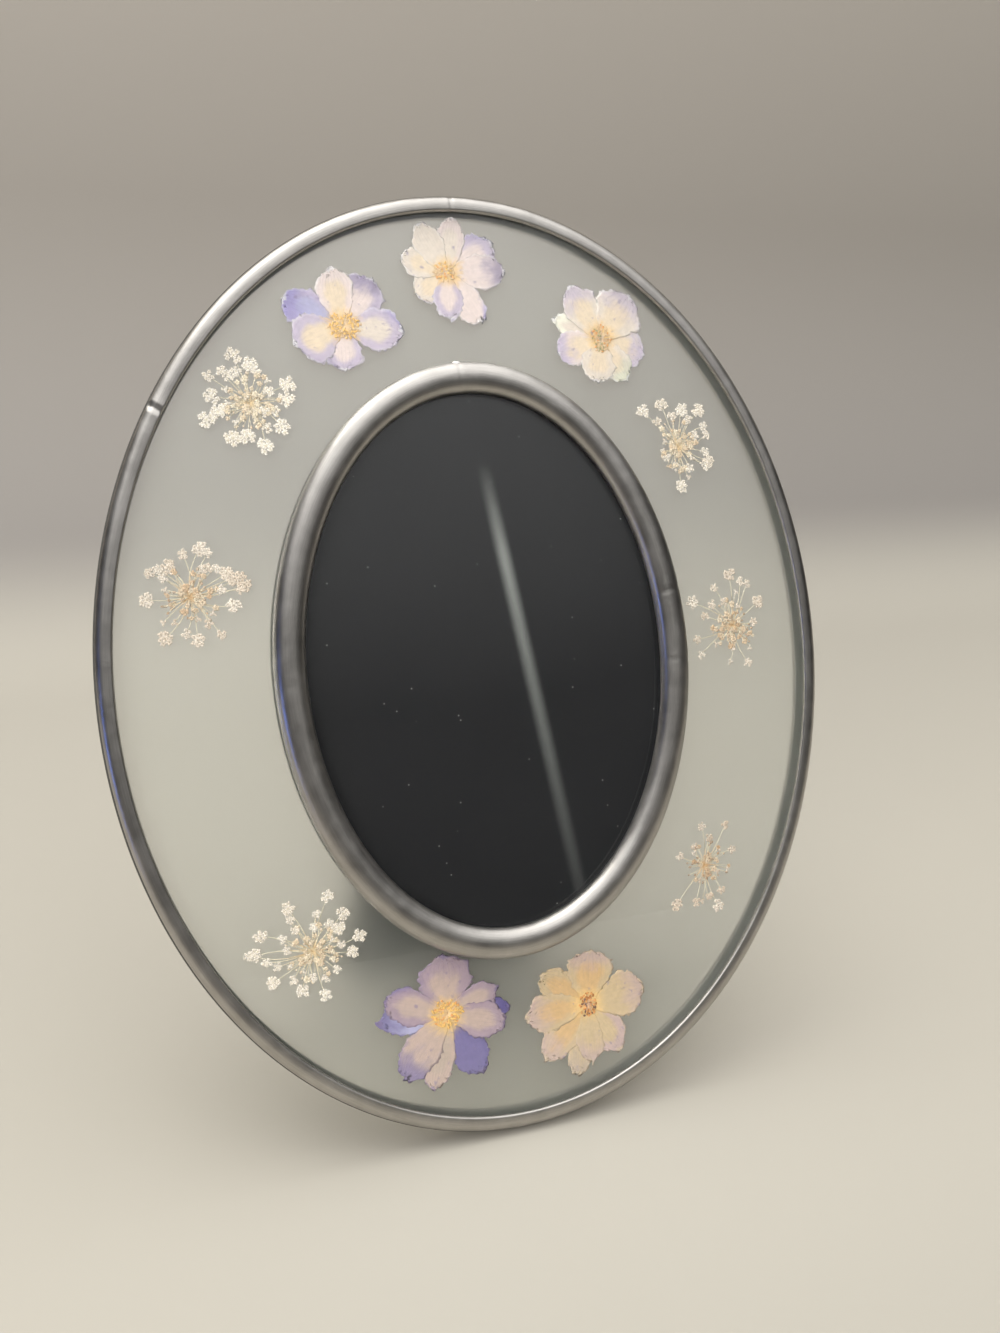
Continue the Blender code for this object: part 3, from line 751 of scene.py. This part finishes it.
def build_stamens(name, middle, finish, chance):
    """The tuft of stamens in front of a larkspur's sepals."""
    offset, spread, count, tints = STAMENS[name]
    heart = Vector((middle[0] + offset[0], FRONT_LAYER, middle[1] + offset[1]))
    bm = tinted_bmesh()
    for number in range(count):
        angle = math.tau * number / count + chance.uniform(-0.2, 0.2)
        share = math.sqrt(chance.uniform(0.04, 1))
        tip = heart + Vector((math.cos(angle) * spread[0], 0, math.sin(angle) * spread[1])) * share
        tip.y = chance.uniform(-0.47, -0.4)
        colour = srgb(chance.choice(tints))
        bend = Vector((chance.uniform(-0.3, 0.3), 0, chance.uniform(-0.3, 0.3)))
        points = [heart.lerp(tip, 0.1), heart.lerp(tip, 0.5) + bend, tip]
        pale = mixed(colour, srgb(IVORY), 0.35)
        thin_tube(bm, points, (0.07, 0.06, 0.05), (pale, pale, colour))
        size = (chance.uniform(0.32, 0.46), 0.07, chance.uniform(0.2, 0.28))
        blob(bm, tip, size, colour, chance.uniform(0, math.pi))
    bmesh.ops.recalc_face_normals(bm, faces=bm.faces)
    finished(bm, name + "_stamens", [finish])


def build_larkspurs(sepal_finish, stamen_finish):
    """The five larkspurs, each of layered tissue-thin sepals with its stamens in front."""
    chance = random.Random(12)
    for name, (middle, sepals) in LARKSPURS.items():
        bm = tinted_bmesh()
        bm.loops.layers.uv.new("sepal")
        rim = RIMS.get(name, PAINTED_EDGE_GLINT)
        for number, (shape, order, tints, stain) in enumerate(sepals):
            sepal(bm, middle, shape, order, tints, rim, stain, number * 7.3 + middle[0])
        flower = finished(bm, name + "_sepals", [sepal_finish], name)
        skin = flower.modifiers.new("tissue", "SOLIDIFY")
        skin.thickness = SEPAL_THICK * MM
        skin.offset = 0
        build_stamens(name, middle, stamen_finish, chance)


# --- Queen Anne's lace ---

# The radius of a small bunch of florets, and how many stand round its middle one
BIG, FAIR, SMALL = 1.95, 1.35, 0.9
AROUND = {BIG: 6, FAIR: 5, SMALL: 3}
FLORET_THICK = 0.05
# Each head: its middle, and its bunches by size, as direction in degrees and distance
LACE = {
    "lace_left_high": ((-50.9, 62.8), {
        BIG: ((105, 11), (85, 8.5), (170, 8.5), (-165, 7.5), (-160, 10.5), (-120, 9),
              (-75, 10), (-40, 8.5), (5, 8), (25, 9.5), (-100, 7.5)),
        FAIR: ((145, 10.5), (130, 9), (125, 7.5), (-60, 6.5), (-20, 5.5), (30, 5), (75, 7),
               (110, 7.5), (-35, 3.5)),
        SMALL: ((150, 6), (180, 5), (-130, 5.5), (100, 5), (50, 6.5)),
    }),
    "lace_left_middle": ((-67.5, 20.4), {
        BIG: ((75, 11), (120, 8), (180, 9), (30, 9.5), (20, 10.5), (10, 12), (-15, 9.5),
              (-125, 10.5), (-85, 9.5)),
        FAIR: ((65, 10.5), (95, 9.5), (145, 10), (135, 9), (140, 7), (65, 6.5), (55, 7.5),
               (45, 8.5), (20, 12), (5, 11), (10, 7), (-100, 8), (-60, 7), (-55, 10.5)),
        SMALL: ((-140, 8), (-125, 6.5), (160, 5.5), (-75, 5), (-40, 6)),
    }),
    "lace_right_high": ((54.5, 50.6), {
        BIG: ((135, 13), (110, 11.5), (80, 9.5), (55, 11), (-25, 9), (-90, 10)),
        FAIR: ((130, 8.5), (100, 8), (65, 7.5), (35, 9), (30, 5.5), (20, 8.5), (-10, 7.5),
               (-35, 9), (-105, 5), (-65, 6), (-145, 4.5)),
        SMALL: ((-40, 4.5), (-170, 4.5), (160, 4), (-75, 8), (-35, 7.5)),
    }),
    "lace_right_middle": ((66.0, 4.6), {
        BIG: ((90, 13), (150, 13), (35, 9.5)),
        FAIR: ((115, 11), (75, 11.5), (65, 11.5), (110, 6.5), (135, 8), (160, 8.5),
               (-165, 11), (-145, 12), (-70, 10.5), (5, 6)),
        SMALL: ((80, 8.5), (-170, 6), (-140, 7), (-95, 6), (-100, 9.5), (-55, 7.5), (70, 5)),
    }),
    "lace_right_low": ((52.5, -55.6), {
        BIG: ((-135, 12.5), (-75, 11)),
        FAIR: ((90, 10), (55, 11.5), (75, 7), (115, 5.5), (20, 8.5), (155, 7.5), (-60, 8),
               (-110, 9.5), (-85, 8)),
        SMALL: ((40, 5.5), (-15, 6.5), (-30, 4), (-120, 4), (-100, 9), (130, 4.5)),
    }),
    "lace_left_low": ((-47.5, -61.1), {
        BIG: ((70, 12.5), (115, 11.5), (155, 12.5), (175, 13), (-150, 11), (-110, 9),
              (-80, 10.5), (-10, 9), (10, 11), (45, 10.5), (35, 7.5)),
        FAIR: ((120, 9), (175, 14.5), (-175, 10.5), (-165, 8.5), (-130, 7.5), (-70, 7),
               (-95, 6), (-45, 7), (80, 8.5), (55, 7), (85, 5.5), (125, 6.5), (150, 7.5),
               (5, 6.5), (170, 6)),
        SMALL: ((-30, 5), (-155, 6), (-120, 5), (25, 5)),
    }),
}
# How many short stalks with buds fill the middle of each head, how brown it dried and
# how full its florets are
HEARTS = {
    "lace_left_high": (80, 0.15, 1.0),
    "lace_left_middle": (60, 0.6, 0.88),
    "lace_right_high": (64, 0.3, 0.92),
    "lace_right_middle": (84, 0.6, 0.9),
    "lace_right_low": (48, 0.75, 0.86),
    "lace_left_low": (64, 0.25, 0.84),
}


def floret(bm, spot, radius, tints, chance):
    """A five-petalled floret, seen from above, with a domed middle. tints are petal and eye."""
    tint = bm.verts.layers.float_color["tint"]
    start = chance.uniform(0, math.tau)
    white, eye = tints
    for count in range(5):
        angle = start + math.tau * count / 5 + chance.uniform(-0.2, 0.2)
        size = radius * chance.uniform(0.8, 1.15)
        turn = Matrix.Rotation(-angle, 4, "Y")
        tilt = Matrix.Rotation(chance.uniform(-0.12, 0.12), 4, "X")
        place = Matrix.Translation(spot) @ turn @ tilt
        petal = bmesh.ops.create_grid(bm, x_segments=3, y_segments=4, size=1)
        for vert in petal["verts"]:
            across, round_edge = vert.co.x, math.pi * (vert.co.y + 1) / 2
            along = (1 - math.cos(round_edge)) / 2
            half = size * (0.06 + 0.36 * math.sin(round_edge))
            notch = 0.14 * size * (1 - abs(across)) * along ** 6
            cup = 0.1 * math.cos(across * 1.5) * math.sin(round_edge)
            vert.co = place @ Vector((size * along - notch, -cup, half * across))
            vert[tint] = mixed(eye, white, smooth(0.0, 0.3, along))
    blob(bm, spot + Vector((0, -0.05, 0)), (radius * 0.2, 0.06, radius * 0.2), eye)


def umbellet(bm, spot, size, fullness, tints, chance):
    """A small bunch: one open floret, with smaller ones crowded round it."""
    radius = size * fullness
    floret(bm, spot, radius * 0.5, tints, chance)
    start = chance.uniform(0, math.tau)
    for count in range(AROUND[size]):
        angle = start + math.tau * count / AROUND[size] + chance.uniform(-0.3, 0.3)
        reach = radius * chance.uniform(0.55, 0.75)
        aside = Vector((math.cos(angle), 0, math.sin(angle))) * reach
        aside.y = chance.uniform(-0.04, 0.1)
        floret(bm, spot + aside, radius * chance.uniform(0.34, 0.46), tints, chance)


def lace_stalk(bm, heart, tip, thick, heart_tint, chance):
    """A stalk that bows a little to one side and thins towards its floret."""
    reach = tip - heart
    aside = Vector((-reach.z, 0, reach.x)) * chance.uniform(-0.1, 0.1)
    steps = 5
    points, radii, colours = [], [], []
    for step in range(steps + 1):
        share = step / steps
        points.append(heart + reach * share + aside * math.sin(math.pi * share))
        radii.append(thick * (1 - 0.45 * share))
        colours.append(mixed(heart_tint, srgb(STALK), smooth(0.05, 0.6, share)))
    thin_tube(bm, points, radii, colours)


def build_lace(petal_finish, stalk_finish):
    """The six heads of lace: bunches on their stalks, round a heart of short stalks."""
    chance = random.Random(5)
    for name, (middle, florets) in LACE.items():
        buds, brown, fullness = HEARTS[name]
        heart_tint = mixed(srgb(STALK_HEART), srgb(CARAMEL), brown)
        eye = mixed(srgb(FLORET_EYE), srgb(BROWN), 1.2 * brown)
        eye_share = 0.45 + 0.4 * brown
        heart = Vector((middle[0], 0.1, middle[1]))
        blooms, stalks = tinted_bmesh(), tinted_bmesh()
        for size, places in florets.items():
            for degrees, distance in places:
                angle = math.radians(degrees)
                tip = heart + Vector((math.cos(angle), 0, math.sin(angle))) * distance
                tip.y = chance.uniform(-0.34, -0.12)
                fade = 0.05 + 0.75 * brown
                white = mixed(srgb(LACE_WHITE), srgb(DRIED), chance.uniform(0.3 * fade, fade))
                tints = (white, mixed(white, eye, eye_share))
                umbellet(blooms, tip, size, fullness, tints, chance)
                lace_stalk(stalks, heart, tip + Vector((0, 0.14, 0)), 0.13, heart_tint, chance)
        for _ in range(buds):
            angle, distance = chance.uniform(0, math.tau), chance.uniform(1.2, 6.8)
            tip = heart + Vector((math.cos(angle), 0, math.sin(angle))) * distance
            tip.y = chance.uniform(-0.42, 0.0)
            lace_stalk(stalks, heart, tip, 0.11, heart_tint, chance)
            dried = chance.uniform(0.2 * brown, 0.25 + 0.7 * brown)
            cream = mixed(srgb(PALE_BUD), srgb(DRIED_BUD), dried)
            if chance.random() < 0.75 - 0.4 * brown:
                radius = chance.uniform(0.45, 0.9)
                floret(blooms, tip, radius, (cream, mixed(cream, eye, eye_share)), chance)
            else:
                size = chance.uniform(0.22, 0.36)
                shut = mixed(cream, srgb(BROWN), brown * 0.6)
                blob(stalks, tip, (size * 1.4, 0.1, size), shut, -angle)
        bmesh.ops.recalc_face_normals(stalks, faces=stalks.faces)
        finished(stalks, name + "_stalks", [stalk_finish])
        head = finished(blooms, name + "_florets", [petal_finish], name)
        skin = head.modifiers.new("tissue", "SOLIDIFY")
        skin.thickness = FLORET_THICK * MM
        skin.offset = 0


# --- the other pieces keep their shape ---

def dress(material, *names):
    """Gives CAD nodes their finish."""
    for name in names:
        mesh = NODES[name].data
        mesh.materials.clear()
        mesh.materials.append(material)


# --- stage, lamps and camera ---

def build_stage():
    """A table top that sweeps up into a wall behind."""
    bm = bmesh.new()
    line = [(TABLE_FRONT, 0.0), (SWEEP_START, 0.0)]
    steps = 16
    for step in range(1, steps + 1):
        angle = math.pi / 2 * step / steps
        depth = SWEEP_START + SWEEP_RADIUS * math.sin(angle)
        line.append((depth, SWEEP_RADIUS * (1 - math.cos(angle))))
    line.append((SWEEP_START + SWEEP_RADIUS, WALL_TOP))
    verts = [bm.verts.new((-HALF_WIDTH, depth, height)) for depth, height in line]
    for pair in zip(verts, verts[1:]):
        bm.edges.new(pair)
    wide = bmesh.ops.extrude_edge_only(bm, edges=bm.edges)
    moved = [item for item in wide["geom"] if isinstance(item, bmesh.types.BMVert)]
    bmesh.ops.translate(bm, vec=(2 * HALF_WIDTH, 0, 0), verts=moved)
    bmesh.ops.reverse_faces(bm, faces=[face for face in bm.faces if face.normal.z < 0])
    stage = meshed(bm, "table_and_wall", [floor_paint_and_painted_shade()])


def facing(place, along):
    """The matrix of a flat thing at a place that faces the frame and stands along."""
    back = (Vector(place) - MIDDLE).normalized()
    across = Vector(along).cross(back).normalized()
    turn = Matrix((across, back.cross(across), back)).transposed().to_4x4()
    return Matrix.Translation(place) @ turn


def lamp(name, place, size, power, colour, mirrored=True, along=(0, 0, 1)):
    """A soft rectangular lamp, in metres, that faces the frame and stands along."""
    data = bpy.data.lights.new(name, "AREA")
    data.shape = "RECTANGLE"
    data.size, data.size_y = size
    data.energy = power
    data.color = srgb(colour)[:3]
    obj = put(name, data)
    obj.matrix_world = facing(place, along)
    obj.visible_glossy = mirrored


def gap_of_light():
    """A slanting gap of light, seen only as the streak that the picture glass mirrors."""
    made = bpy.data.materials.new("gap_of_light")
    made.use_nodes = True
    tree = made.node_tree
    across_along = add(tree, "SeparateXYZ", {0: add(tree, "TexCoord").outputs["UV"]})
    aside = add(tree, "Math", {0: across_along.outputs[0], 1: 2.0, 2: -1.0}, operation="MULTIPLY_ADD")
    off = add(tree, "Math", {0: aside.outputs[0]}, operation="ABSOLUTE")
    soft = add(tree, "MapRange", {"Value": off.outputs[0], "From Min": 1.0, "From Max": 0.0},
               interpolation_type="SMOOTHSTEP")
    ramp = add(tree, "ValToRGB", {0: across_along.outputs[1]})
    stops = ramp.color_ramp.elements
    for spot, level in ((0.22, 0.27), (0.5, 0.57), (0.78, 1.0)):
        stops.new(spot).color = (level, level, level, 1)
    stops[0].color = (0.1, 0.1, 0.1, 1)
    stops[-1].color = (0.0, 0.0, 0.0, 1)
    level = add(tree, "Math", {0: soft.outputs[0], 1: ramp.outputs[0]}, operation="MULTIPLY")
    strength = add(tree, "Math", {0: level.outputs[0], 1: GAP_GLOW}, operation="MULTIPLY")
    glow = add(tree, "Emission", {"Color": srgb("#f6faf0"), "Strength": strength.outputs[0]})
    open_way = add(tree, "BsdfTransparent")
    show(tree, add(tree, "AddShader", {0: glow.outputs[0], 1: open_way.outputs[0]}).outputs[0])
    bm = bmesh.new()
    bm.loops.layers.uv.new("gap")
    place = facing(GAP_MIDDLE, GAP_ALONG) @ Matrix.Diagonal((*GAP_SIZE, 1, 1))
    bmesh.ops.create_grid(bm, x_segments=1, y_segments=1, size=0.5, matrix=place, calc_uvs=True)
    card = meshed(bm, "gap_of_light", [made])
    card.visible_camera = False


def light_room():
    """Two softboxes, a small blue window, and a room that is brightest overhead."""
    lamp("ceiling_softbox", (-0.5, 0.05, 1.6), (1.1, 0.9), 8, "#fffef6", along=(1, 0, 0))
    lamp("front_left_softbox", (-0.75, -1.05, 0.5), (0.8, 0.5), 9.5, "#fffaf3", mirrored=False)
    lamp("window", (-1.0, -0.5, 0.08), (0.16, 0.14), 0.5, "#6f94ff")
    gap_of_light()
    world = bpy.data.worlds.new("room")
    bpy.context.scene.world = world
    world.use_nodes = True
    tree = world.node_tree
    towards = add(tree, "SeparateXYZ", {0: add(tree, "TexCoord").outputs["Generated"]})
    ramp = add(tree, "ValToRGB", {0: towards.outputs[2]})
    stops = ramp.color_ramp.elements
    for spot, level in ((0.2, 0.12), (0.42, 0.56), (0.54, 1.0), (0.62, 1.85)):
        stops.new(spot).color = (level, level, level, 1)
    stops[0].color = (0.06, 0.06, 0.06, 1)
    stops[-1].color = (2.5, 2.5, 2.48, 1)
    sideways = add(tree, "Math", {0: towards.outputs[0]}, operation="ABSOLUTE")
    dim = add(tree, "MapRange", {"Value": sideways.outputs[0], "From Min": 0.35, "From Max": 0.85,
                                 "To Min": 1.0, "To Max": 0.15}, interpolation_type="SMOOTHSTEP")
    tree.links.new(ramp.outputs[0], tree.nodes["Background"].inputs["Color"])
    tree.links.new(dim.outputs[0], tree.nodes["Background"].inputs["Strength"])
    # past the edge of the table there is a plain pale backdrop
    backdrop = add(tree, "Background", {"Color": srgb("#c4c0b8"), "Strength": 1.0})
    path = add(tree, "LightPath")
    lit = tree.nodes["Background"].outputs[0]
    either = {0: path.outputs["Is Camera Ray"], 1: lit, 2: backdrop.outputs[0]}
    room = add(tree, "MixShader", either)
    tree.links.new(room.outputs[0], tree.nodes["World Output"].inputs["Surface"])


def set_camera():
    """A wide lens close to the frame, a little above it and from its left."""
    eye = MIDDLE + EYE_FROM_MIDDLE * MM
    aim = PLANE @ LOOKED_AT
    data = bpy.data.cameras.new("camera")
    data.lens = LENS
    camera = put("camera", data)
    camera.location = eye
    camera.rotation_euler = (aim - eye).to_track_quat("-Z", "Y").to_euler()
    bpy.context.scene.camera = camera


def main():
    """Dresses the CAD pieces, builds the others, and sets the stage."""
    came = came_metal("lead_came", True)
    glass = clear_glass()
    dress(glass, "front_pane", "photo_glass")
    dress(black_board("black_paper_board", False), "backing_board")
    dress(black_board("black_leather_paper", True), "easel_leg")
    dress(zinc_steel(), "hinge_leaf_board", "hinge_leaf_leg", "hinge_pin", "board_screw_left",
          "board_screw_right", "leg_screw_left", "leg_screw_right")
    tabs = [name for name in NODES if name.startswith("board_tab")]
    dress(came_metal("lead_strip", False), *tabs)
    build_cames(came, solder_tin(), glazing_cement())
    build_back_pane(glass, etched_glass())
    build_larkspurs(papery("dried_sepal", 0.4, srgb(VEIN)), papery("dried_stamen", 0.2))
    build_lace(papery("dried_floret", 0.35), papery("dried_stalk", 0.25))
    build_stage()
    light_room()
    set_camera()
    bpy.context.scene.view_settings.view_transform = "Standard"


main()
